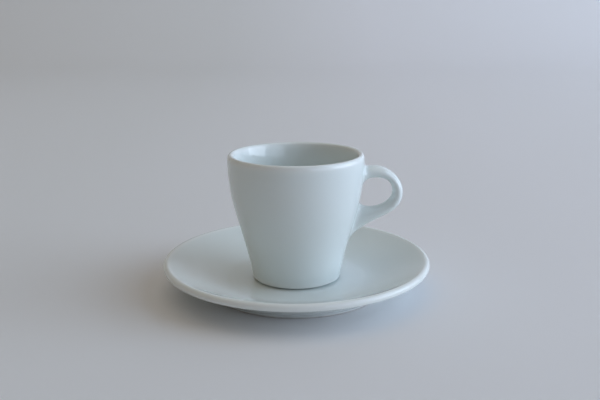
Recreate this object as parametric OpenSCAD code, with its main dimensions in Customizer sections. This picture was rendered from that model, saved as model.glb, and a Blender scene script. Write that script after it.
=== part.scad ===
// Espresso cup with its saucer, in white glazed porcelain.
// The frame stands on the table: +Z is up, the origin is the centre of the saucer's foot,
// and the handle points along +X. All lengths are in millimetres.

/* [Saucer] */
// Outer diameter of the saucer
saucer_d = 120; // [112:1:132]
// Height of the rim's crest above the table
saucer_h = 14.5; // [13:0.5:17]
// Thickness of the full-round rim
saucer_rim_t = 3.3; // [2.8:0.1:3.8]
// Steepness of the top surface where it meets the rim, in degrees
saucer_rim_slope = 27; // [23:1:32]
// Steepness of the underside where it meets the rim, in degrees
saucer_under_slope = 25; // [22:1:28]
// Height of the level well floor above the table
saucer_floor_z = 5; // [4.5:0.1:5.8]
// How far inside the side's foot the level floor starts to curve up
saucer_well_bend = 5.3; // [3:0.1:9]
// Outer diameter of the foot ring's flat land
saucer_foot_d = 77; // [70:1:80]
// Width of the foot ring's flat land
saucer_foot_w = 2.4; // [1.6:0.1:3.2]
// Depth of the hollow inside the foot ring
saucer_foot_h = 1.9; // [1.4:0.1:2.4]
// Rounding of the foot ring's edges
saucer_foot_round = 0.9; // [0.5:0.1:1.2]

/* [Cup] */
// Height of the cup from its foot to its lip
cup_h = 57; // [54:0.5:62]
// Outer diameter of the cup below its lip
cup_rim_d = 60.7; // [58:0.1:64]
// Outer diameter of the wall just above its bottom edge
cup_base_d = 39.5; // [37.5:0.1:41.5]
// Pull of the lower wall's curve, upwards
cup_flare_h = 28.2; // [24:0.1:32]
// Pull of the lower wall's curve, outwards
cup_flare_out = 5.6; // [4.4:0.1:6.8]
// Pull of the shoulder's curve, down from the lip
cup_shoulder_h = 21.6; // [17:0.1:25]
// Thickness of the full-round lip
cup_lip_t = 2.9; // [2.4:0.1:3.4]
// Height over which the outside rounds over into the lip
cup_lip_drop = 3.2; // [2:0.1:4.5]
// Thickness of the wall below the lip's taper
cup_wall_t = 4.2; // [3.4:0.1:4.8]
// Depth of the taper inside the lip
cup_taper_h = 9.5; // [6:0.5:12]
// Lean of the inside face where it meets the lip, in degrees from upright
cup_taper_slope = 18; // [10:1:22]
// Thickness of the floor above the hollow foot
cup_floor_t = 4.4; // [3.4:0.1:5.4]
// Depth of the rounded corner inside the bottom
cup_corner_h = 7.5; // [5:0.5:10]
// Rounding of the bottom edge of the wall
cup_edge_round = 0.2; // [0.1:0.05:0.8]
// Step in from the rounded bottom edge to the foot ring's flat land
cup_foot_step = 1.9; // [1.2:0.1:2.4]
// Width of the foot ring's flat land
cup_foot_w = 2; // [1.4:0.1:2.8]
// Height of the foot ring below the glazed bottom edge
cup_foot_h = 0.8; // [0.5:0.1:1]
// Depth of the hollow inside the foot ring
cup_hollow_h = 1.6; // [1.1:0.1:2.2]

/* [Handle] */
// How far the handle stands out past the rim's radius
handle_reach = 17.25; // [15:0.25:20]
// Thickness of the band at the grip
handle_grip_t = 4.7; // [4:0.1:5.6]
// Width of the band at the grip, across the cup
handle_grip_w = 8.4; // [7:0.1:10]
// Width of the upper root, across the cup
handle_top_w = 9.2; // [7:0.1:11]
// Width of the lower root, across the cup
handle_tail_w = 7.2; // [5.5:0.1:9]
// Drop from the lip to the upper edge of the handle, at the wall
handle_top_drop = 7.4; // [6:0.1:9]
// Height of the upper root where it meets the wall
handle_root_t = 5.8; // [4.8:0.1:7]
// Drop from the lip to the handle's outermost point
handle_grip_drop = 17.5; // [15.5:0.1:19.5]
// Drop from the outermost point to the finger hole's lower corner
handle_hole_low = 5.6; // [4.5:0.1:7]
// Length of the lower root down the wall
handle_tail_h = 18.4; // [15:0.1:20]
// Fillet where the roots meet the wall
handle_fillet = 1.2; // [0.6:0.1:1.8]

/* [Hidden] */
// Facets of a full turn
turn_facets = 180;
// Steps along each curve of an outline
curve_steps = 18;
corner_steps = 6;
lip_steps = 12;
// Steps along each half of the handle, and corners of its section
band_steps = 14;
band_sides = 20;
// How far the handle's ends reach into the wall before they are cut to it
handle_sink = 1.4;
// Halvings that find a height on the wall's curve
search_steps = 24;
// Pulls of the handle's curves: the first value is a share of the curve's reach, and the
// others are shares of the height between the two roots on that edge
hole_upper_shares = [0.48, 0.4, 0.7];
hole_lower_shares = [0.6, 0.36, 0.44];
back_upper_shares = [0.46, 0.16, 0.21];
back_lower_shares = [0.41, 0.43, 0.37];
// Share of each half of the handle over which its root widens
fillet_share = 0.3;

saucer_r = saucer_d / 2;
saucer_rim_r = saucer_rim_t / 2;
saucer_rim_c = [saucer_r - saucer_rim_r, saucer_h - saucer_rim_r];
saucer_foot_r = saucer_foot_d / 2;
saucer_foot_in_r = saucer_foot_r - saucer_foot_w;
rim_r = cup_rim_d / 2;
base_r = cup_base_d / 2;
base_z = cup_foot_h + cup_edge_round;
lip_r = cup_lip_t / 2;
lip_z = cup_h - lip_r;
foot_r = base_r - cup_edge_round - cup_foot_step;
foot_in_r = foot_r - cup_foot_w;
inside_z = cup_hollow_h + cup_floor_t;

// Point of a curve with end points p[0] and p[3] and pulls p[1] and p[2]
function on_curve(p, t) =
    pow(1 - t, 3) * p[0] + 3 * pow(1 - t, 2) * t * p[1] + 3 * (1 - t) * t * t * p[2] + t * t * t * p[3];
function curve_dir(p, t) =
    pow(1 - t, 2) * (p[1] - p[0]) + 2 * (1 - t) * t * (p[2] - p[1]) + t * t * (p[3] - p[2]);
// Rounded corner between two points, with the tip of the corner given; skip leaves out its start
function corner(a, tip, b, steps, skip = 0) =
    [for (i = [skip:steps]) let (t = i / steps) pow(1 - t, 2) * a + 2 * (1 - t) * t * tip + t * t * b];
// Arc about a centre, from one angle to another; skip leaves out its start
function arc(c, r, from, to, steps, skip = 0) =
    [for (i = [skip:steps]) let (a = from + (to - from) * i / steps) c + r * [cos(a), sin(a)]];
function unit(v) = v / norm(v);
// Point where the line from p along u meets the line from q along v
function meet(p, u, q, v) = p + u * cross(q - p, v) / cross(u, v);

// The cup's wall, outside, from its bottom edge up to where it stands upright
wall = [
    [base_r, base_z],
    [base_r + cup_flare_out, base_z + cup_flare_h],
    [rim_r, lip_z - cup_shoulder_h],
    [rim_r, lip_z]
];
// Share of the way up the wall's curve at which it reaches a height
function wall_share(z, low = 0, high = 1, n = search_steps) =
    let (mid = (low + high) / 2)
    n == 0 ? mid : on_curve(wall, mid)[1] < z ? wall_share(z, mid, high, n - 1) : wall_share(z, low, mid, n - 1);
function wall_r(z) = on_curve(wall, wall_share(z))[0];
// Inner face below the taper: one wall thickness inside the outer one
function inner_point(t) =
    let (d = unit(curve_dir(wall, t)))
    on_curve(wall, t) + cup_wall_t * [-d[1], d[0]];
// The inside leans outwards to the lip, which thins the wall there
lip_c = [rim_r - lip_r, lip_z];
lip_crest = [rim_r - lip_r, cup_h];
lip_share = wall_share(cup_h - cup_lip_drop);
lip_start = on_curve(wall, lip_share);
lip_tip = meet(lip_start, curve_dir(wall, lip_share), lip_crest, [1, 0]);
lip_end_angle = 180 - cup_taper_slope;
lip_end = lip_c + lip_r * [cos(lip_end_angle), sin(lip_end_angle)];
taper_share = wall_share(lip_z - cup_taper_h);
taper_end = inner_point(taper_share);
taper_tip = meet(lip_end, [-sin(lip_end_angle), cos(lip_end_angle)], taper_end, curve_dir(wall, taper_share));
corner_share = wall_share(inside_z + cup_corner_h);
corner_top = inner_point(corner_share);
corner_tip = meet(corner_top, curve_dir(wall, corner_share), [0, inside_z], [1, 0]);
corner_in = [corner_tip[0] - cup_corner_h, inside_z];

// Outer face from the bottom edge to the crest of the lip
wall_outline = concat(
    arc([base_r - cup_edge_round, base_z], cup_edge_round, -90, 0, corner_steps),
    [for (i = [1:curve_steps]) on_curve(wall, lip_share * i / curve_steps)],
    corner(lip_start, lip_tip, lip_crest, lip_steps, 1)
);

module cup_envelope() {
    rotate_extrude($fn = turn_facets)
        polygon(concat([[0, cup_foot_h]], wall_outline, [[0, cup_h]]));
}

module cup_body() {
    inside = concat(
        arc(lip_c, lip_r, 90, lip_end_angle, lip_steps, 1),
        corner(lip_end, taper_tip, taper_end, curve_steps, 1),
        [for (i = [1:curve_steps]) inner_point(taper_share - (taper_share - corner_share) * i / curve_steps)],
        corner(corner_top, corner_tip, corner_in, corner_steps, 1),
        [[0, inside_z]]
    );
    foot = [
        [0, cup_hollow_h],
        [foot_in_r - cup_hollow_h, cup_hollow_h],
        [foot_in_r, 0],
        [foot_r, 0],
        [foot_r + cup_foot_step / 2, cup_foot_h]
    ];
    color("whitesmoke")
        translate([0, 0, saucer_floor_z])
        rotate_extrude($fn = turn_facets)
        polygon(concat(foot, wall_outline, inside));
}

// Outline of one edge of the handle: from the upper root, round the grip, to the lower root
hole_top = cup_h - handle_top_drop - handle_root_t;
hole_low = cup_h - handle_grip_drop - handle_hole_low;
back_top = cup_h - handle_top_drop;
back_low = hole_low - handle_tail_h;
grip_z = cup_h - handle_grip_drop;
grip_x = rim_r + handle_reach;
function root_x(z) = wall_r(z) - handle_sink;
function upper_edge(z, x, span, shares) = [
    [root_x(z), z],
    [root_x(z) + (x - root_x(z)) * shares[0], z + span * shares[1]],
    [x, grip_z + span * shares[2]],
    [x, grip_z]
];
function lower_edge(z, x, span, side, shares) = [
    [x, grip_z],
    [x, grip_z - span * shares[2]],
    [root_x(z) + (x - root_x(z)) * shares[0], z + side * span * shares[1]],
    [root_x(z), z]
];
hole_span = hole_top - hole_low;
back_span = back_top - back_low;
hole_edges = [
    upper_edge(hole_top, grip_x - handle_grip_t, hole_span, hole_upper_shares),
    lower_edge(hole_low, grip_x - handle_grip_t, hole_span, -1, hole_lower_shares)
];
back_edges = [
    upper_edge(back_top, grip_x, back_span, back_upper_shares),
    lower_edge(back_low, grip_x, back_span, 1, back_lower_shares)
];
function ease(t) = t * t * (3 - 2 * t);
// One section of the band: an ellipse between the hole's edge and the back's edge
function band_ring(half, t) =
    let (
        near = on_curve(hole_edges[half], t),
        far = on_curve(back_edges[half], t),
        root_t = half == 0 ? t : 1 - t,
        root_w = half == 0 ? handle_top_w : handle_tail_w,
        flare = handle_fillet * pow(max(0, 1 - root_t / fillet_share), 2),
        across = unit(far - near) * (norm(far - near) / 2 + flare),
        wide = (root_w + (handle_grip_w - root_w) * ease(root_t)) / 2 + flare,
        mid = (near + far) / 2
    )
    [for (j = [0:band_sides - 1])
        let (a = 360 * j / band_sides, p = mid + across * cos(a))
        [p[0], wide * sin(a), p[1]]];

module band() {
    rings = concat(
        [for (i = [0:band_steps]) band_ring(0, i / band_steps)],
        [for (i = [1:band_steps]) band_ring(1, i / band_steps)]
    );
    last = len(rings) - 1;
    sides = [for (k = [0:last - 1], j = [0:band_sides - 1])
        let (a = k * band_sides + j, b = k * band_sides + (j + 1) % band_sides)
        each [[a, a + band_sides, b], [b, a + band_sides, b + band_sides]]];
    start = [for (j = [0:band_sides - 1]) j];
    end = [for (j = [band_sides - 1:-1:0]) last * band_sides + j];
    polyhedron([for (r = rings) each r], concat([start], sides, [end]));
}

module cup_handle() {
    color("whitesmoke")
        translate([0, 0, saucer_floor_z])
        difference() {
            band();
            cup_envelope();
        }
}

module saucer() {
    top_dir = [cos(saucer_rim_slope), sin(saucer_rim_slope)];
    under_dir = [cos(saucer_under_slope), sin(saucer_under_slope)];
    top_end = saucer_rim_c + saucer_rim_r * [-top_dir[1], top_dir[0]];
    under_end = saucer_rim_c + saucer_rim_r * [under_dir[1], -under_dir[0]];
    top_tip = top_end - top_dir * (top_end[1] - saucer_floor_z) / top_dir[1];
    well_edge = top_tip - [saucer_well_bend, 0];
    foot_side = [saucer_foot_r + saucer_foot_round, saucer_foot_round];
    under_tip = under_end - under_dir * (under_end[0] - foot_side[0]) / under_dir[0];
    hollow_side = [saucer_foot_in_r - saucer_foot_round, saucer_foot_round];
    hollow_tip = [hollow_side[0], saucer_foot_h];
    outline = concat(
        [[0, saucer_floor_z]],
        corner(well_edge, top_tip, top_end, curve_steps),
        arc(saucer_rim_c, saucer_rim_r, 90 + saucer_rim_slope, 0, lip_steps, 1),
        arc(saucer_rim_c, saucer_rim_r, 0, saucer_under_slope - 90, lip_steps, 1),
        corner(under_end, under_tip, foot_side, curve_steps, 1),
        arc([saucer_foot_r, saucer_foot_round], saucer_foot_round, 0, -90, corner_steps, 1),
        arc([saucer_foot_in_r, saucer_foot_round], saucer_foot_round, -90, -180, corner_steps),
        corner(hollow_side, hollow_tip, hollow_tip - [saucer_foot_h, 0], corner_steps, 1),
        [[0, saucer_foot_h]]
    );
    color("whitesmoke")
        rotate_extrude($fn = turn_facets)
        polygon(outline);
}

saucer();
cup_body();
cup_handle();
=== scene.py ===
"""Espresso cup and saucer in white glazed porcelain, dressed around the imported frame.

Lengths inside the classes are in millimetres, as on a potter's drawing, and become metres
when a mesh is made. The frame stands on the table: +Z is up and the handle points along +X.
"""

import logging
import math
from dataclasses import dataclass, field
from enum import Enum

import bpy
import numpy as np
from mathutils import Matrix, Vector


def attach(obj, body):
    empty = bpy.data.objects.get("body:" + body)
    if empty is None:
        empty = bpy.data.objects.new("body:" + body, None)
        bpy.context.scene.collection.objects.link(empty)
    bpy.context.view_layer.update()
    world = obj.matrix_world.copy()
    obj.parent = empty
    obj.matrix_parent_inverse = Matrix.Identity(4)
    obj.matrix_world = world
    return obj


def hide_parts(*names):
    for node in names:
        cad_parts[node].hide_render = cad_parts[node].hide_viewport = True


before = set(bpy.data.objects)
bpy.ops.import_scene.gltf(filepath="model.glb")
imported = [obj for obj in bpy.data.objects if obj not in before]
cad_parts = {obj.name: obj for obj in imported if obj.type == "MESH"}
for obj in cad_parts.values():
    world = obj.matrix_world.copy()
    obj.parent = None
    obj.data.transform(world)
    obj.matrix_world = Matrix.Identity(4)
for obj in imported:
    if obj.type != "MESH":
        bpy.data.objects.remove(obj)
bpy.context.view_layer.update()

MM = 0.001
# Name of the per-point attribute: glaze depth, whose negative values also paint highlight on edges.
DEPTH = "glaze_depth_and_highlight"
NOISE_BAND = (0.3, 0.7)
HALVINGS = 30
LOG = logging.getLogger("cup_and_saucer")

Colour = tuple[float, float, float]
Shares = tuple[float, ...]


class Zone(Enum):
    """What covers a part of the surface; the value is the material's place on the mesh."""

    GLAZE = 0
    # Unglazed foot; its dark tone is partly painted shade along the line where a foot meets what it stands
    # on.
    BISCUIT_AND_SHADE = 1


class Root(Enum):
    """The two ends of the handle; the value is the half of the handle that they belong to."""

    UPPER = 0
    LOWER = 1


# Outlines


def cubic(points: np.ndarray, t: float) -> np.ndarray:
    """Finds a point of a cubic curve.

    Args:
        points: the curve's two ends and, between them, its two pulls.
        t: share of the way along the curve.

    Returns:
        The point.
    """
    a, b, c, d = points
    u = 1 - t
    return u**3 * a + 3 * u * u * t * b + 3 * u * t * t * c + t**3 * d


def cubic_dir(points: np.ndarray, t: float) -> np.ndarray:
    """Finds the direction of a cubic curve, as a unit vector.

    Args:
        points: the curve's two ends and, between them, its two pulls.
        t: share of the way along the curve.

    Returns:
        The unit vector along the curve.
    """
    a, b, c, d = points
    u = 1 - t
    return unit(u * u * (b - a) + 2 * u * t * (c - b) + t * t * (d - c))


def unit(v: np.ndarray) -> np.ndarray:
    """Returns the vector at a length of one."""
    return v / np.linalg.norm(v)


def slope(degrees: float) -> np.ndarray:
    """Returns the unit vector that rises outwards at an angle."""
    return np.array([math.cos(math.radians(degrees)), math.sin(math.radians(degrees))])


def meet(p: np.ndarray, u: np.ndarray, q: np.ndarray, v: np.ndarray) -> np.ndarray:
    """Finds where the line from p along u meets the line from q along v.

    Args:
        p: a point of the first line.
        u: the first line's direction.
        q: a point of the second line.
        v: the second line's direction.

    Returns:
        The crossing point.
    """
    w = q - p
    return p + u * (w[0] * v[1] - w[1] * v[0]) / (u[0] * v[1] - u[1] * v[0])


def corner(a: np.ndarray, tip: np.ndarray, b: np.ndarray, steps: int) -> list[np.ndarray]:
    """Rounds the corner between two points, leaving out its start.

    Args:
        a: where the rounding starts.
        tip: the sharp corner.
        b: where the rounding ends.
        steps: how many points to make.

    Returns:
        The points after a, up to b.
    """
    shares = [i / steps for i in range(1, steps + 1)]
    return [(1 - t) ** 2 * a + 2 * (1 - t) * t * tip + t * t * b for t in shares]


def arc(centre: np.ndarray, radius: float, start: float, end: float,
        steps: int) -> list[np.ndarray]:
    """Makes an arc, leaving out its start.

    Args:
        centre: the arc's centre.
        radius: the arc's radius.
        start: the first angle, in degrees.
        end: the last angle, in degrees.
        steps: how many points to make.

    Returns:
        The points after the start, up to the end.
    """
    angles = np.radians([start + (end - start) * i / steps for i in range(1, steps + 1)])
    return [centre + radius * np.array([math.cos(a), math.sin(a)]) for a in angles]


@dataclass
class Outline:
    """Half a section of a turned piece, with what covers it.

    The points run from the axis under the piece, outwards and up, over the rim and down inside
    to the axis again.
    """

    points: list[np.ndarray] = field(default_factory=list)
    zones: list[Zone] = field(default_factory=list)

    def add(self, points: list, zone: Zone = Zone.GLAZE) -> None:
        """Adds points; the surface that leads to each of them has the zone's cover."""
        self.points += [np.array(p, float) for p in points]
        self.zones += [zone] * len(points)

    def join(self, other: "Outline") -> None:
        """Adds another outline's points and covers at the end."""
        self.points += other.points
        self.zones += other.zones

    def flipped(self) -> "Outline":
        """Returns the same section, drawn from its other end."""
        return Outline(self.points[::-1], [Zone.GLAZE] + self.zones[:0:-1])

    def pooling(self, reach: float = 1.6, gain: float = 1.6) -> np.ndarray:
        """Finds where molten glaze gathers, and the edges that are made lighter, partly by thinner glaze
        and partly as painted highlight.

        Args:
            reach: distance over which the glaze evens out, in millimetres.
            gain: depth of the glaze for each radian of bend in a millimetre.

        Returns:
            One value for each point: above 0 in hollows, below 0 on edges, from -1 to 1.
        """
        p = np.array(self.points)
        step = np.linalg.norm(np.diff(p, axis=0), axis=1)
        along = np.concatenate([[0], np.cumsum(step)])
        turn = np.zeros(len(p))
        for i in range(1, len(p) - 1):
            a, b = p[i] - p[i - 1], p[i + 1] - p[i]
            turn[i] = math.atan2(a[0] * b[1] - a[1] * b[0], float(a @ b))
        spread = np.exp(-(((along[:, None] - along[None, :]) / reach) ** 2))
        bend = (spread @ turn) / (reach * math.sqrt(math.pi))
        return np.clip(-gain * bend, -1, 1)


def turned(name: str, outline: Outline, facets: int) -> bpy.types.Object:
    """Turns an outline about the axis into one closed mesh.

    Args:
        name: the piece's name.
        outline: the section; its first and last points lie on the axis.
        facets: how many facets a full turn has.

    Returns:
        The new object, with its glaze depth and painted highlight attribute and the zones' material
        numbers.
    """
    ring = outline.points[1:-1]
    pool = outline.pooling()
    angles = np.arange(facets) * 2 * math.pi / facets
    c, s = np.cos(angles), np.sin(angles)
    rows = [np.stack([r * c, r * s, np.full(facets, z)], 1) for r, z in ring]
    verts = np.concatenate([*rows, [[0, 0, outline.points[0][1]], [0, 0, outline.points[-1][1]]]])
    first, last = len(verts) - 2, len(verts) - 1
    faces, zones = [], []
    for k in range(facets):
        n = (k + 1) % facets
        faces.append((first, n, k))
        zones.append(outline.zones[1].value)
        for i in range(len(ring) - 1):
            a, b = i * facets, (i + 1) * facets
            faces.append((a + k, a + n, b + n, b + k))
            zones.append(outline.zones[i + 2].value)
        top = (len(ring) - 1) * facets
        faces.append((top + k, top + n, last))
        zones.append(outline.zones[-1].value)
    values = np.concatenate([np.repeat(pool[1:-1], facets), [pool[0], pool[-1]]])
    return mesh_object(name, verts, faces, values, zones)


def mesh_object(name: str, verts: np.ndarray, faces: list, pool: np.ndarray,
                zones: list[int] | None = None) -> bpy.types.Object:
    """Makes a smooth mesh object from points in millimetres.

    Args:
        name: the object's name.
        verts: the points.
        faces: each face's corners, turning left seen from outside.
        pool: how deep the glaze lies at each point; values below 0 make the edge lighter, partly as
            painted highlight.
        zones: each face's material number, or None where all are glazed.

    Returns:
        The new object, linked to the scene.
    """
    mesh = bpy.data.meshes.new(name)
    mesh.from_pydata((np.asarray(verts) * MM).tolist(), [], faces)
    mesh.polygons.foreach_set("use_smooth", [True] * len(mesh.polygons))
    if zones:
        mesh.polygons.foreach_set("material_index", zones)
    depth = mesh.attributes.new(DEPTH, "FLOAT", "POINT")
    depth.data.foreach_set("value", np.asarray(pool, np.float32))
    mesh.update()
    piece = bpy.data.objects.new(name, mesh)
    bpy.context.scene.collection.objects.link(piece)
    return piece


# Finishes


class Nodes:
    """A short hand for building a material's nodes."""

    def __init__(self, name: str) -> None:
        """Makes an empty node material.

        Args:
            name: the material's name.
        """
        self.material = bpy.data.materials.new(name)
        self.material.use_nodes = True
        self.tree = self.material.node_tree
        self.tree.nodes.clear()

    def add(self, kind: str, **settings: object) -> bpy.types.Node:
        """Adds a node.

        Args:
            kind: the node's type.
            **settings: its properties, and with names that start with in_ its input values.

        Returns:
            The new node.
        """
        node = self.tree.nodes.new(kind)
        for key, value in settings.items():
            if key.startswith("in_"):
                node.inputs[key[3:].replace("_", " ")].default_value = value
            else:
                setattr(node, key, value)
        return node

    def link(self, out: bpy.types.NodeSocket, into: bpy.types.NodeSocket) -> None:
        """Links one socket to another."""
        self.tree.links.new(out, into)

    def noise(self, scale: float, detail: float = 2.0, rough: float = 0.5) -> bpy.types.NodeSocket:
        """Adds noise in the piece's own metres.

        Args:
            scale: how many waves there are in a metre.
            detail: how many finer layers it has.
            rough: how strong the finer layers are.

        Returns:
            The noise's value socket.
        """
        node = self.add("ShaderNodeTexNoise", in_Scale=scale, in_Detail=detail, in_Roughness=rough)
        self.link(self.place(), node.inputs["Vector"])
        return node.outputs["Fac"]

    def place(self) -> bpy.types.NodeSocket:
        """Returns the piece's own coordinates, in metres."""
        return self.add("ShaderNodeTexCoord").outputs["Object"]

    def span(self, value: bpy.types.NodeSocket, low: float, high: float, to_low: float,
             to_high: float) -> bpy.types.NodeSocket:
        """Maps a value from one span to another, held at both ends.

        Args:
            value: the socket that gives the value.
            low: the value that becomes to_low.
            high: the value that becomes to_high.
            to_low: the result at low.
            to_high: the result at high.

        Returns:
            The result's socket.
        """
        node = self.add("ShaderNodeMapRange", in_From_Min=low, in_From_Max=high,
                        in_To_Min=to_low, in_To_Max=to_high)
        self.link(value, node.inputs["Value"])
        return node.outputs["Result"]

    def tint(self, share: bpy.types.NodeSocket, a: bpy.types.NodeSocket | Colour,
             b: bpy.types.NodeSocket | Colour) -> bpy.types.NodeSocket:
        """Mixes two colours.

        Args:
            share: how much of the second colour shows.
            a: the first colour, or the socket that gives it.
            b: the second colour, or the socket that gives it.

        Returns:
            The mixed colour's socket.
        """
        node = self.add("ShaderNodeMix", data_type="RGBA")
        self.link(share, node.inputs["Factor"])
        for name, colour in (("A", a), ("B", b)):
            into = next(i for i in node.inputs if i.name == name and i.type == "RGBA")
            if isinstance(colour, tuple):
                into.default_value = (*colour, 1)
            else:
                self.link(colour, into)
        return next(o for o in node.outputs if o.type == "RGBA")

    def bump(self, height: bpy.types.NodeSocket, depth: float,
             under: bpy.types.NodeSocket | None = None) -> bpy.types.NodeSocket:
        """Turns a height into relief.

        Args:
            height: the socket that gives the height, from 0 to 1.
            depth: how deep the relief is, in metres.
            under: the relief that this one lies on.

        Returns:
            The normal's socket.
        """
        node = self.add("ShaderNodeBump", in_Strength=1.0, in_Distance=depth)
        self.link(height, node.inputs["Height"])
        if under:
            self.link(under, node.inputs["Normal"])
        return node.outputs["Normal"]


@dataclass(frozen=True)
class PorcelainGlaze:
    """Clear cool glaze over a white body: deeper in hollows; lighter on edges, partly from thinner glaze
    and partly as painted highlight.
    """

    body: Colour = (0.765, 0.825, 0.815)
    pooled: Colour = (0.65, 0.76, 0.76)
    thin_glaze_and_highlight: Colour = (0.83, 0.875, 0.86)
    speck: Colour = (0.42, 0.41, 0.38)
    pool_span: tuple[float, float] = (0.05, 1.0)
    pool_share: float = 0.75
    thin_glaze_and_highlight_span: tuple[float, float] = (-0.04, -0.55)
    cloud_waves: float = 38.0
    cloud_share: float = 0.10
    speck_waves: float = 330.0
    speck_span: tuple[float, float] = (0.05, 0.10)
    speck_share: float = 0.25
    rare_waves: float = 95.0
    rare_span: tuple[float, float] = (0.72, 0.76)
    ior: float = 1.5
    roughness: float = 0.058
    roughness_swing: float = 0.015
    roughness_waves: float = 60.0
    flow_waves: float = 70.0
    flow_depth: float = 0.00003
    peel_waves: float = 420.0
    peel_depth: float = 0.000006

    def colour(self, n: Nodes) -> bpy.types.NodeSocket:
        """Builds the colour of the glaze, with its pools, its lighter edges (thinner glaze and painted
        highlight) and a rare speck.

        Args:
            n: the material's nodes.

        Returns:
            The colour's socket.
        """
        depth = n.add("ShaderNodeAttribute", attribute_name=DEPTH).outputs["Fac"]
        cloud = n.span(n.noise(self.cloud_waves, 3), *NOISE_BAND, 0, self.cloud_share)
        colour = n.tint(cloud, self.body, self.pooled)
        colour = n.tint(n.span(depth, *self.pool_span, 0, self.pool_share), colour, self.pooled)
        # Partly painted highlight: convex edges and the handle's outer edge are tinted towards a lighter
        # colour that stands in for the highlights on rims and lips, besides thinner glaze.
        colour = n.tint(n.span(depth, *self.thin_glaze_and_highlight_span, 0, 1), colour, self.thin_glaze_and_highlight)
        speck = n.add("ShaderNodeTexVoronoi", feature="F1", in_Scale=self.speck_waves, in_Randomness=1.0)
        n.link(n.place(), speck.inputs["Vector"])
        dot = n.span(speck.outputs["Distance"], *self.speck_span, 1, 0)
        rare = n.span(n.noise(self.rare_waves, 0), *self.rare_span, 0, self.speck_share)
        spot = n.add("ShaderNodeMath", operation="MULTIPLY")
        n.link(dot, spot.inputs[0])
        n.link(rare, spot.inputs[1])
        return n.tint(spot.outputs[0], colour, self.speck)

    def material(self) -> bpy.types.Material:
        """Builds the glaze's material.

        Returns:
            The material.
        """
        n = Nodes("porcelain_glaze")
        shader = n.add("ShaderNodeBsdfPrincipled", in_IOR=self.ior)
        n.link(self.colour(n), shader.inputs["Base Color"])
        n.link(n.span(n.noise(self.roughness_waves, 2), *NOISE_BAND, self.roughness - self.roughness_swing,
                      self.roughness + self.roughness_swing), shader.inputs["Roughness"])
        flow = n.bump(n.noise(self.flow_waves, 1), self.flow_depth)
        n.link(n.bump(n.noise(self.peel_waves, 1), self.peel_depth, flow), shader.inputs["Normal"])
        n.link(shader.outputs[0], n.add("ShaderNodeOutputMaterial").inputs["Surface"])
        return n.material


@dataclass(frozen=True)
class BiscuitAndContactShade:
    """The unglazed body of a foot ring, ground flat and a little stained; its dark tone is partly painted
    shade for the line where the foot meets the table.
    """

    bare_and_shaded: Colour = (0.62, 0.62, 0.60)
    worn_and_shaded: Colour = (0.38, 0.375, 0.36)
    stain_waves: float = 260.0
    stain_span: tuple[float, float] = (0.42, 0.72)
    stain_share: float = 0.6
    grain_waves: float = 3500.0
    grain_depth: float = 0.00004
    roughness: tuple[float, float] = (0.72, 0.9)
    ior: float = 1.45

    def material(self) -> bpy.types.Material:
        """Builds the bare body's material.

        Returns:
            Builds the unglazed body's material, with its painted contact shade.
        """
        n = Nodes("ground_biscuit_and_contact_shade")
        stain = n.span(n.noise(self.stain_waves, 4), *self.stain_span, 0, self.stain_share)
        grain = n.noise(self.grain_waves, 3, 0.7)
        shader = n.add("ShaderNodeBsdfPrincipled", in_IOR=self.ior)
        # Partly painted shade: the dark tones stand for stain and for the shade line at the foot's
        # contact.
        n.link(n.tint(stain, self.bare_and_shaded, self.worn_and_shaded), shader.inputs["Base Color"])
        n.link(n.span(grain, *NOISE_BAND, *self.roughness), shader.inputs["Roughness"])
        n.link(n.bump(grain, self.grain_depth), shader.inputs["Normal"])
        n.link(shader.outputs[0], n.add("ShaderNodeOutputMaterial").inputs["Surface"])
        return n.material


@dataclass(frozen=True)
class PaperWithPaintedLight:
    """The matt sweep that the cup stands on, with painted light: its colour is a little bluer and lighter
    towards the window.
    """

    far: Colour = (0.775, 0.78, 0.78)
    near: Colour = (0.845, 0.845, 0.87)
    reach: float = 0.18
    roughness: float = 0.9
    ior: float = 1.3

    def material(self) -> bpy.types.Material:
        """Builds the sweep's material.

        Returns:
            The material.
        """
        n = Nodes("sweep_paper_painted_light")
        axes = n.add("ShaderNodeSeparateXYZ")
        n.link(n.place(), axes.inputs[0])
        # Painted light: the colour runs across X from the far tone to the lighter, bluer near tone,
        # towards the window.
        side = n.span(axes.outputs["X"], -self.reach, self.reach, 0, 1)
        shader = n.add("ShaderNodeBsdfPrincipled", in_Roughness=self.roughness, in_IOR=self.ior)
        n.link(n.tint(side, self.far, self.near), shader.inputs["Base Color"])
        n.link(shader.outputs[0], n.add("ShaderNodeOutputMaterial").inputs["Surface"])
        return n.material


# The pieces


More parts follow.
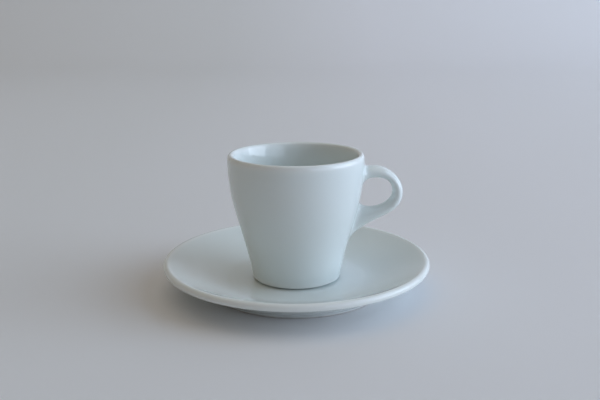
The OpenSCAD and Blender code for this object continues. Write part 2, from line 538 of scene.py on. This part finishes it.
@dataclass
class Saucer:
    """The saucer: a level well, a curved side, a full-round rim and a foot ring."""

    diameter: float = 120.0
    height: float = 14.5
    rim_t: float = 3.3
    rim_slope: float = 27.0
    under_slope: float = 25.0
    floor_z: float = 5.0
    well_bend: float = 8.5
    foot_r: float = 38.5
    foot_w: float = 2.4
    hollow: float = 1.9
    foot_round: float = 0.9
    foot_turn: float = 70.0
    land_step: tuple[float, float] = (-0.02, -0.01)
    land_bevel: tuple[float, float] = (0.1, 0.03)
    land_in: float = 0.05
    well_shares: Shares = (0.08, 0.2, 0.35, 0.5, 0.65, 0.8, 0.9, 0.96, 1.0)
    hollow_shares: Shares = (0.85, 0.7, 0.5, 0.35, 0.2, 0.08, 0.0)
    side_steps: int = 40
    rim_steps: int = 28
    under_steps: int = 34
    foot_steps: int = 7
    hollow_steps: int = 10
    facets: int = 240

    def foot(self) -> Outline:
        """Draws the foot ring, from its outer side, under its land and up its inner side.

        Returns:
            The foot ring's part of the outline.
        """
        bevel, lift = self.land_bevel
        in_r = self.foot_r - self.foot_w
        line = Outline()
        # The outer rounding of the foot takes the dark biscuit finish too, which paints a shade line where
        # the saucer meets the table.
        line.add(arc(np.array([self.foot_r, self.foot_round]), self.foot_round, 0, -self.foot_turn,
                     self.foot_steps), Zone.BISCUIT_AND_SHADE)
        line.add([line.points[-1] + np.array(self.land_step), (self.foot_r + bevel, lift),
                  (self.foot_r - self.land_in, 0.0), (self.foot_r - self.foot_w / 2, 0.0),
                  (in_r + self.land_in, 0.0), (in_r - bevel, lift)], Zone.BISCUIT_AND_SHADE)
        line.add(arc(np.array([in_r, self.foot_round]), self.foot_round, self.foot_turn - 180, -180,
                     self.foot_steps))
        return line

    def outline(self) -> Outline:
        """Draws the whole section.

        Returns:
            The outline.
        """
        r = self.rim_t / 2
        c = np.array([self.diameter / 2 - r, self.height - r])
        top, low = slope(self.rim_slope), slope(self.under_slope)
        top_end = c + r * np.array([-top[1], top[0]])
        under_end = c + r * np.array([low[1], -low[0]])
        top_tip = meet(top_end, top, np.array([0.0, self.floor_z]), slope(0))
        well = top_tip - np.array([self.well_bend, 0])
        side = np.array([self.foot_r + self.foot_round, self.foot_round])
        under_tip = meet(under_end, low, side, slope(90))
        hollow_side = np.array([self.foot_r - self.foot_w - self.foot_round, self.foot_round])
        hollow_tip = np.array([hollow_side[0], self.hollow])
        hollow_end = hollow_tip - np.array([self.hollow, 0])
        foot = self.foot()
        line = Outline()
        line.add([(0.0, self.floor_z)])
        line.add([(well[0] * k, well[1]) for k in self.well_shares])
        line.add(corner(well, top_tip, top_end, self.side_steps))
        line.add(arc(c, r, 90 + self.rim_slope, self.under_slope - 90, self.rim_steps))
        line.add(corner(under_end, under_tip, side, self.under_steps))
        line.join(foot)
        line.add(corner(hollow_side, hollow_tip, hollow_end, self.hollow_steps))
        line.add([(hollow_tip[0] * k, self.hollow) for k in self.hollow_shares])
        return line.flipped()

    def build(self) -> bpy.types.Object:
        """Makes the saucer, which stands for the frame's saucer.

        Returns:
            The new piece.
        """
        piece = turned("saucer_porcelain", self.outline(), self.facets)
        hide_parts("saucer")
        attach(piece, "saucer")
        return piece


@dataclass
class CupBody:
    """The cup's bowl: a wall that swells to upright shoulders, a rounded lip and a foot ring."""

    floor_z: float = 5.0
    height: float = 57.0
    rim_r: float = 30.35
    base_r: float = 19.75
    flare_h: float = 28.2
    flare_out: float = 5.6
    shoulder_h: float = 21.6
    lip_t: float = 2.9
    lip_drop: float = 3.2
    wall_t: float = 4.2
    taper_h: float = 9.5
    taper_slope: float = 18.0
    floor_t: float = 4.4
    corner_h: float = 7.5
    edge_round: float = 0.2
    foot_step: float = 1.9
    foot_w: float = 2.0
    foot_h: float = 0.8
    neck_bend: float = 0.12
    hollow: float = 1.6
    hollow_bend: float = 0.5
    ring_edge: tuple[float, float] = (-0.12, 0.25)
    land_inner: tuple[float, float] = (-0.08, 0.16)
    land_outer: tuple[float, float] = (0.06, 0.1)
    glaze_start: tuple[float, float] = (0.08, 0.12)
    land_bevel: float = 0.1
    hollow_shares: Shares = (0, 0.1, 0.3, 0.5, 0.7, 0.85)
    floor_shares: Shares = (0.9, 0.75, 0.5, 0.25, 0.1, 0)
    hollow_steps: int = 8
    neck_steps: int = 6
    edge_steps: int = 10
    wall_steps: int = 48
    lip_out_steps: int = 20
    lip_in_steps: int = 16
    taper_steps: int = 14
    inside_steps: int = 34
    corner_steps: int = 18
    facets: int = 240
    root_from_r: float = 20.0
    root_reach: float = 3.4
    root_pool: float = 0.4

    def wall(self) -> np.ndarray:
        """Finds the outer wall's curve.

        Returns:
            The cubic curve's points, from the bottom edge to the lip.
        """
        low = self.floor_z + self.foot_h + self.edge_round
        top = self.floor_z + self.height - self.lip_t / 2
        return np.array([[self.base_r, low], [self.base_r + self.flare_out, low + self.flare_h],
                         [self.rim_r, top - self.shoulder_h], [self.rim_r, top]])

    def share_at(self, z: float) -> float:
        """Finds how far along the wall's curve a height lies.

        Args:
            z: the height above the table.

        Returns:
            The share of the curve.
        """
        wall, low, high = self.wall(), 0.0, 1.0
        for _ in range(HALVINGS):
            mid = (low + high) / 2
            low, high = (mid, high) if cubic(wall, mid)[1] < z else (low, mid)
        return (low + high) / 2

    def radius_at(self, z: float) -> float:
        """Returns the outer wall's radius at a height above the table."""
        return float(cubic(self.wall(), self.share_at(z))[0])

    def inner_point(self, t: float) -> np.ndarray:
        """Finds the inner face's point across from a point of the outer wall.

        Args:
            t: the share of the outer wall's curve.

        Returns:
            The inner point, one wall thickness in.
        """
        d = cubic_dir(self.wall(), t)
        return cubic(self.wall(), t) + self.wall_t * np.array([-d[1], d[0]])

    def foot(self) -> Outline:
        """Draws the hollow, the foot ring and the rounded bottom edge of the wall.

        Returns:
            The foot's part of the outline.
        """
        z0 = self.floor_z
        foot_r = self.base_r - self.edge_round - self.foot_step
        in_r = foot_r - self.foot_w
        inner, outer = np.array([in_r, z0]), np.array([foot_r, z0])
        hollow_end = np.array([in_r * self.hollow_shares[-1], z0 + self.hollow])
        hollow_tip = np.array([in_r - self.hollow_bend, z0 + self.hollow])
        edge_c = np.array([self.base_r - self.edge_round, self.wall()[0][1]])
        edge_start = edge_c - np.array([0, self.edge_round])
        line = Outline()
        line.add([(in_r * k, z0 + self.hollow) for k in self.hollow_shares])
        line.add(corner(hollow_end, hollow_tip, inner + self.ring_edge, self.hollow_steps))
        # The land takes the dark biscuit finish, which is partly painted shade under the cup's edge.
        line.add([inner + self.land_inner, (in_r + self.land_bevel, z0), (in_r + self.foot_w / 2, z0),
                  (foot_r - self.land_bevel, z0), outer + self.land_outer], Zone.BISCUIT_AND_SHADE)
        line.add(corner(outer + self.glaze_start, outer + (self.neck_bend, self.foot_h), edge_start,
                        self.neck_steps))
        line.add(arc(edge_c, self.edge_round, -90, 0, self.edge_steps))
        return line

    def outline(self) -> Outline:
        """Draws the whole section.

        Returns:
            The outline.
        """
        wall, z0 = self.wall(), self.floor_z
        lip_r = self.lip_t / 2
        lip_c = wall[3] - np.array([lip_r, 0])
        end_angle = 180 - self.taper_slope
        lip_end = lip_c + lip_r * slope(end_angle)
        taper_t = self.share_at(wall[3][1] - self.taper_h)
        taper_end = self.inner_point(taper_t)
        taper_tip = meet(lip_end, slope(end_angle + 90), taper_end, cubic_dir(wall, taper_t))
        inside_z = z0 + self.hollow + self.floor_t
        corner_t = self.share_at(inside_z + self.corner_h)
        corner_top = self.inner_point(corner_t)
        corner_tip = meet(corner_top, cubic_dir(wall, corner_t), np.array([0.0, inside_z]), slope(0))
        corner_in = corner_tip - np.array([self.corner_h, 0])
        lip_share = self.share_at(z0 + self.height - self.lip_drop)
        lip_start = cubic(wall, lip_share)
        crest = lip_c + np.array([0, lip_r])
        lip_tip = meet(lip_start, cubic_dir(wall, lip_share), crest, slope(0))
        inside_t = np.linspace(taper_t, corner_t, self.inside_steps + 1)[1:]
        line = self.foot()
        line.add([cubic(wall, t) for t in np.linspace(0, lip_share, self.wall_steps + 1)[1:]])
        line.add(corner(lip_start, lip_tip, crest, self.lip_out_steps))
        line.add(arc(lip_c, lip_r, 90, end_angle, self.lip_in_steps))
        line.add(corner(lip_end, taper_tip, taper_end, self.taper_steps))
        line.add([self.inner_point(t) for t in inside_t])
        line.add(corner(corner_top, corner_tip, corner_in, self.corner_steps))
        line.add([(corner_in[0] * k, inside_z) for k in self.floor_shares])
        return line

    def build(self, handle: "Handle") -> bpy.types.Object:
        """Makes the bowl, with the glaze gathered round the handle's roots.

        Args:
            handle: the handle that is joined to the bowl.

        Returns:
            The new piece.
        """
        piece = turned("cup_bowl", self.outline(), self.facets)
        co = np.array([v.co for v in piece.data.vertices]) / MM
        pool = np.zeros(len(co), np.float32)
        layer = piece.data.attributes[DEPTH]
        layer.data.foreach_get("value", pool)
        by_wall = np.hypot(co[:, 0], co[:, 1]) > self.root_from_r
        for seam in handle.seams():
            near = np.min(np.linalg.norm(co[:, None, :] - seam[None, :, :], axis=2), axis=1)
            pool += np.where(by_wall, self.root_pool * np.exp(-((near / self.root_reach) ** 2)), 0)
        layer.data.foreach_set("value", pool.astype(np.float32))
        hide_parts("cup_body")
        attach(piece, "cup")
        return piece


@dataclass
class Handle:
    """The ear handle: an oval band between two edge curves, blended into the wall at both roots.

    The first points of each rail are sunk in the wall, so that the skin ends out of sight.
    """

    cup: CupBody
    reach: float = 17.25
    grip_t: float = 4.7
    grip_w: float = 8.4
    top_w: float = 9.2
    tail_w: float = 7.2
    top_drop: float = 7.4
    root_t: float = 5.8
    grip_drop: float = 17.5
    hole_low: float = 5.6
    tail_h: float = 18.4
    sink: float = 1.4
    blend: tuple[float, float] = (3.2, 3.0)
    slide_share: float = 0.35
    under_share: float = 0.16
    under_sink: float = 0.03
    deep_share: float = 0.5
    deep_sink: float = 0.9
    end_sink: float = 0.006
    foot_clear: float = 3.0
    root_pool: float = 0.42
    outer_edge_painted_highlight: float = -0.36
    around: int = 48
    along: int = 44
    sunk_points: int = 2
    blend_steps: int = 12
    middle_points: int = 96
    hole_upper_shares: Shares = (0.48, 0.4, 0.7)
    hole_lower_shares: Shares = (0.6, 0.36, 0.44)
    back_upper_shares: Shares = (0.46, 0.16, 0.21)
    back_lower_shares: Shares = (0.41, 0.43, 0.37)

    def upper_edge(self, z: float, x: float, span: float, shares: Shares) -> np.ndarray:
        """Draws an edge curve from the upper root to the grip.

        Args:
            z: the root's height.
            x: how far out the grip is.
            span: the height between the edge's two roots.
            shares: the two pulls, as shares of the reach and of the span.

        Returns:
            The cubic curve's points.
        """
        root = self.cup.radius_at(z) - self.sink
        grip_z = self.grip_z()
        return np.array([[root, z], [root + (x - root) * shares[0], z + span * shares[1]],
                         [x, grip_z + span * shares[2]], [x, grip_z]])

    def lower_edge(self, z: float, x: float, span: float, side: int, shares: Shares) -> np.ndarray:
        """Draws an edge curve from the grip to the lower root.

        Args:
            z: the root's height.
            x: how far out the grip is.
            span: the height between the edge's two roots.
            side: 1 where the curve comes to the root from above, and -1 from below.
            shares: the two pulls, as shares of the reach and of the span.

        Returns:
            The cubic curve's points.
        """
        root = self.cup.radius_at(z) - self.sink
        grip_z = self.grip_z()
        return np.array([[x, grip_z], [x, grip_z - span * shares[2]],
                         [root + (x - root) * shares[0], z + side * span * shares[1]], [root, z]])

    def grip_z(self) -> float:
        """Returns the height at which the handle stands out furthest."""
        return self.cup.floor_z + self.cup.height - self.grip_drop

    def edges(self) -> tuple[list[np.ndarray], list[np.ndarray]]:
        """Draws the finger hole's edge and the back's edge, each as an upper and a lower curve.

        Returns:
            The hole's two curves and the back's two curves.
        """
        top = self.cup.floor_z + self.cup.height
        hole = (top - self.top_drop - self.root_t, self.grip_z() - self.hole_low)
        back = (top - self.top_drop, hole[1] - self.tail_h)
        far = self.cup.rim_r + self.reach
        near = far - self.grip_t
        hole_span, back_span = hole[0] - hole[1], back[0] - back[1]
        hole_edge = [self.upper_edge(hole[0], near, hole_span, self.hole_upper_shares),
                     self.lower_edge(hole[1], near, hole_span, -1, self.hole_lower_shares)]
        back_edge = [self.upper_edge(back[0], far, back_span, self.back_upper_shares),
                     self.lower_edge(back[1], far, back_span, 1, self.back_lower_shares)]
        return hole_edge, back_edge

    def ring(self, half: Root, t: float) -> np.ndarray:
        """Makes one section of the band.

        Args:
            half: the root that the half belongs to.
            t: the share of the way along that half, from above.

        Returns:
            The section's points.
        """
        hole, back = self.edges()
        near, far = cubic(hole[half.value], t), cubic(back[half.value], t)
        root_t, root_w = (t, self.top_w) if half is Root.UPPER else (1 - t, self.tail_w)
        wide = (root_w + (self.grip_w - root_w) * root_t**2 * (3 - 2 * root_t)) / 2
        mid, across = (near + far) / 2, (far - near) / 2
        a = np.arange(self.around) * 2 * math.pi / self.around
        p = mid[None, :] + np.cos(a)[:, None] * across[None, :]
        return np.stack([p[:, 0], wide * np.sin(a), p[:, 1]], 1)

    def gap(self, p: np.ndarray) -> float:
        """Returns how far a point stands out of the wall, in millimetres."""
        z = min(max(p[2], self.cup.floor_z + self.foot_clear), self.cup.wall()[3][1])
        return math.hypot(p[0], p[1]) - self.cup.radius_at(z)

    def on_wall(self, p: np.ndarray, lift: float) -> np.ndarray:
        """Drops a point onto the wall.

        Args:
            p: the point.
            lift: how far outside the wall it ends, or inside where it is below 0.

        Returns:
            The point on the wall, at the same height and side.
        """
        r = self.cup.radius_at(p[2]) + lift
        return np.array([*(np.array(p[:2]) / math.hypot(p[0], p[1]) * r), p[2]])

    def rails(self) -> list[np.ndarray]:
        """Runs a line along the band from each point of its section, blended into the wall.

        Returns:
            For each rail, its points from the upper root to the lower root.
        """
        rows = [self.ring(Root.UPPER, i / self.along) for i in range(self.along + 1)]
        rows += [self.ring(Root.LOWER, i / self.along) for i in range(1, self.along + 1)]
        raw = np.array(rows)
        rails = []
        for k in range(self.around):
            line = raw[:, k, :]
            line = self.rooted(line, Root.UPPER)
            line = self.rooted(line[::-1], Root.LOWER)[::-1]
            rails.append(line)
        return rails

    def rooted(self, line: np.ndarray, root: Root) -> np.ndarray:
        """Bends the first end of a rail smoothly into the wall.

        Args:
            line: the rail, starting inside the wall.
            root: which root the end belongs to.

        Returns:
            The rail, now starting just under the wall's face.
        """
        gaps = [self.gap(p) for p in line]
        out = next(i for i, g in enumerate(gaps) if g > 0)
        share = -gaps[out - 1] / (gaps[out] - gaps[out - 1]) if out else 0.0
        foot = line[out - 1] + (line[out] - line[out - 1]) * share if out else line[0]
        size = self.blend[root.value]
        walked, i = 0.0, out
        last = foot
        while i < len(line) - 1 and walked + np.linalg.norm(line[i] - last) < size:
            walked += np.linalg.norm(line[i] - last)
            last, i = line[i], i + 1
        step = line[i] - last
        start = last + step * (size - walked) / np.linalg.norm(step)
        n = self.normal(foot)
        leave = unit(line[i] - foot)
        slide = -(leave - n * float(leave @ n))
        away = foot - self.root_centre(root)
        away = away - n * float(away @ n)
        slide = unit(unit(away) + slide * self.slide_share)
        end = self.on_wall(foot + slide * size, 0.0)
        under = self.on_wall(end + (end - foot) * self.under_share, -self.under_sink)
        deep = self.on_wall(foot + (end - foot) * self.deep_share, -self.deep_sink)
        first = self.on_wall(end, -self.end_sink)
        return np.array([deep, under, first, *corner(end, foot, start, self.blend_steps), *line[i:]])

    def normal(self, p: np.ndarray) -> np.ndarray:
        """Finds which way the wall faces.

        Args:
            p: a point on the wall.

        Returns:
            The outward unit normal.
        """
        d = cubic_dir(self.cup.wall(), self.cup.share_at(p[2]))
        flat = np.array([p[0], p[1]]) / math.hypot(p[0], p[1])
        return np.array([flat[0] * d[1], flat[1] * d[1], -d[0]])

    def root_centre(self, root: Root) -> np.ndarray:
        """Finds the middle of a root on the wall.

        Args:
            root: which root.

        Returns:
            The point on the wall's face.
        """
        hole, back = self.edges()
        ends = [hole[0][0], back[0][0]] if root is Root.UPPER else [hole[1][3], back[1][3]]
        z = (ends[0][1] + ends[1][1]) / 2
        return np.array([self.cup.radius_at(z), 0.0, z])

    def seams(self) -> list[np.ndarray]:
        """Returns the two closed lines along which the handle meets the wall."""
        rails = self.rails()
        return [np.array([r[at] for r in rails]) for at in (self.sunk_points, -1 - self.sunk_points)]

    def build(self) -> bpy.types.Object:
        """Makes the handle, which stands for the frame's handle.

        Returns:
            The new piece.
        """
        verts, pool = [], []
        keep = self.sunk_points + self.blend_steps
        fade = np.linspace(1, 0, keep + 2)
        for k, line in enumerate(self.rails()):
            middle = line[keep:len(line) - keep]
            walk = np.concatenate([[0], np.cumsum(np.linalg.norm(np.diff(middle, axis=0), axis=1))])
            at = np.linspace(0, walk[-1], self.middle_points)
            even = np.stack([np.interp(at, walk, middle[:, j]) for j in range(3)], 1)
            full = np.concatenate([line[:keep], even, line[len(line) - keep:]])
            verts.append(full)
            root = np.zeros(len(full))
            root[:len(fade)] = fade
            root[-len(fade):] = fade[::-1]
            # Painted highlight: the band's outer edge is pushed towards the lighter edge colour, for the
            # strip that the window lights there.
            band = self.outer_edge_painted_highlight * (1 + math.cos(k * 2 * math.pi / self.around)) / 2
            pool.append(self.root_pool * root + band * (1 - root))
        grid = np.array(verts).transpose(1, 0, 2)
        rows, cols = grid.shape[:2]
        faces = [(i * cols + (j + 1) % cols, i * cols + j, (i + 1) * cols + j,
                  (i + 1) * cols + (j + 1) % cols)
                 for i in range(rows - 1) for j in range(cols)]
        faces.append(tuple(range(cols)))
        faces.append(tuple((rows - 1) * cols + j for j in reversed(range(cols))))
        piece = mesh_object("cup_ear_handle", grid.reshape(-1, 3), faces, np.array(pool).T.reshape(-1))
        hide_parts("cup_handle")
        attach(piece, "cup")
        return piece


# The studio


@dataclass
class Panel:
    """A soft rectangular light that faces the cup from a distance."""

    name: str
    azimuth: float
    elevation: float
    far: float
    size: tuple[float, float]
    power: float
    colour: Colour

    def hang(self) -> None:
        """Hangs the light in its place."""
        data = bpy.data.lights.new(self.name, "AREA")
        data.shape = "RECTANGLE"
        data.size, data.size_y = self.size
        data.energy = self.power
        data.color = self.colour
        a, e = math.radians(self.azimuth), math.radians(self.elevation)
        away = Vector((math.cos(a) * math.cos(e), math.sin(a) * math.cos(e), math.sin(e)))
        lamp = bpy.data.objects.new(self.name, data)
        lamp.location = away * self.far
        lamp.rotation_mode = "QUATERNION"
        lamp.rotation_quaternion = away.to_track_quat("Z", "Y")
        bpy.context.scene.collection.objects.link(lamp)


@dataclass
class Studio:
    """The sweep that the cup stands on, the window light, the soft fill and the camera."""

    floor_back: float = 1.3
    floor_front: float = 6.0
    bend: float = 0.7
    bend_steps: int = 24
    wall_top: float = 3.0
    half_width: float = 6.0
    panels: tuple[Panel, ...] = (
        Panel("window_near", -46.0, 12.0, 3.0, (2.1, 1.27), 13.0, (0.72, 0.82, 1.0)),
        Panel("window_low", -7.0, 12.0, 3.0, (2.1, 1.27), 42.0, (0.72, 0.83, 1.0)),
        Panel("window_far", 20.0, 12.0, 3.0, (1.0, 1.27), 8.0, (0.72, 0.82, 1.0)),
        Panel("window_high", -4.0, 40.0, 3.0, (2.8, 1.6), 32.0, (0.58, 0.77, 1.0)),
        Panel("room_fill", -170.0, 18.0, 3.0, (3.6, 1.8), 5.4, (0.76, 0.86, 0.88)),
        Panel("ceiling", 180.0, 79.0, 3.0, (3.4, 3.4), 20.5, (1.0, 0.95, 0.84)),
    )
    room: Colour = (0.085, 0.055, 0.03)
    lens: float = 45.0
    sensor: float = 36.0
    clip: tuple[float, float] = (0.01, 50.0)
    camera_at: tuple[float, float, float] = (0.0017, -0.3259, 0.1229)
    pitch: float = 14.17
    roll: float = 0.32

    def sweep(self, paper: PaperWithPaintedLight) -> bpy.types.Object:
        """Makes the floor that curves up into a wall behind the cup.

        Args:
            paper: the floor's material, with painted light towards the window.

        Returns:
            The floor, which isn't part of the object.
        """
        line = [(-self.floor_front, 0.0), (0.0, 0.0), (self.floor_back, 0.0)]
        line += [(self.floor_back + self.bend * math.sin(a), self.bend * (1 - math.cos(a)))
                 for a in np.linspace(0, math.pi / 2, self.bend_steps + 1)[1:]]
        line += [(self.floor_back + self.bend, self.wall_top)]
        verts = [(side * self.half_width, y, z) for y, z in line for side in (-1, 1)]
        faces = [(2 * i, 2 * i + 1, 2 * i + 3, 2 * i + 2) for i in range(len(line) - 1)]
        mesh = bpy.data.meshes.new("studio_sweep")
        mesh.from_pydata(verts, [], faces)
        mesh.polygons.foreach_set("use_smooth", [True] * len(mesh.polygons))
        mesh.materials.append(paper.material())
        floor = bpy.data.objects.new("studio_sweep", mesh)
        bpy.context.scene.collection.objects.link(floor)
        return floor

    def lights(self) -> None:
        """Sets the window, the soft fill and the dim room."""
        for panel in self.panels:
            panel.hang()
        world = bpy.data.worlds.new("room")
        world.use_nodes = True
        world.node_tree.nodes["Background"].inputs["Color"].default_value = (*self.room, 1)
        bpy.context.scene.world = world

    def camera(self) -> None:
        """Sets the camera at the photograph's place and tilt."""
        data = bpy.data.cameras.new("camera")
        data.lens = self.lens
        data.sensor_width = self.sensor
        data.clip_start, data.clip_end = self.clip
        camera = bpy.data.objects.new("camera", data)
        a, b = math.radians(self.pitch), math.radians(self.roll)
        ahead = Vector((0, math.cos(a), -math.sin(a)))
        right, up = Vector((1, 0, 0)), Vector((0, math.sin(a), math.cos(a)))
        turned_right = right * math.cos(b) - up * math.sin(b)
        turned_up = up * math.cos(b) + right * math.sin(b)
        camera.matrix_world = Matrix.Translation(self.camera_at) @ Matrix(
            (turned_right, turned_up, -ahead)).transposed().to_4x4()
        bpy.context.scene.collection.objects.link(camera)
        bpy.context.scene.camera = camera

    def build(self, paper: PaperWithPaintedLight) -> None:
        """Sets up the whole studio.

        Args:
            paper: the floor's material, with painted light towards the window.
        """
        self.camera()
        self.sweep(paper)
        self.lights()
        view = bpy.context.scene.view_settings
        view.view_transform, view.look = "Standard", "None"


def dress(piece: bpy.types.Object, finishes: list[bpy.types.Material]) -> None:
    """Gives a piece its finishes and logs how many faces it has.

    Args:
        piece: the piece.
        finishes: its materials, in the order of the zones.
    """
    for finish in finishes:
        piece.data.materials.append(finish)
    LOG.info("%s: %d faces", piece.name, len(piece.data.polygons))


def main() -> None:
    """Builds the saucer, the cup and the studio."""
    logging.basicConfig(level=logging.INFO, format="%(name)s: %(message)s")
    finishes = [PorcelainGlaze().material(), BiscuitAndContactShade().material()]
    bowl = CupBody()
    handle = Handle(bowl)
    dress(Saucer().build(), finishes)
    dress(bowl.build(handle), finishes)
    dress(handle.build(), finishes[:1])
    Studio().build(PaperWithPaintedLight())


if __name__ == "__main__":
    main()
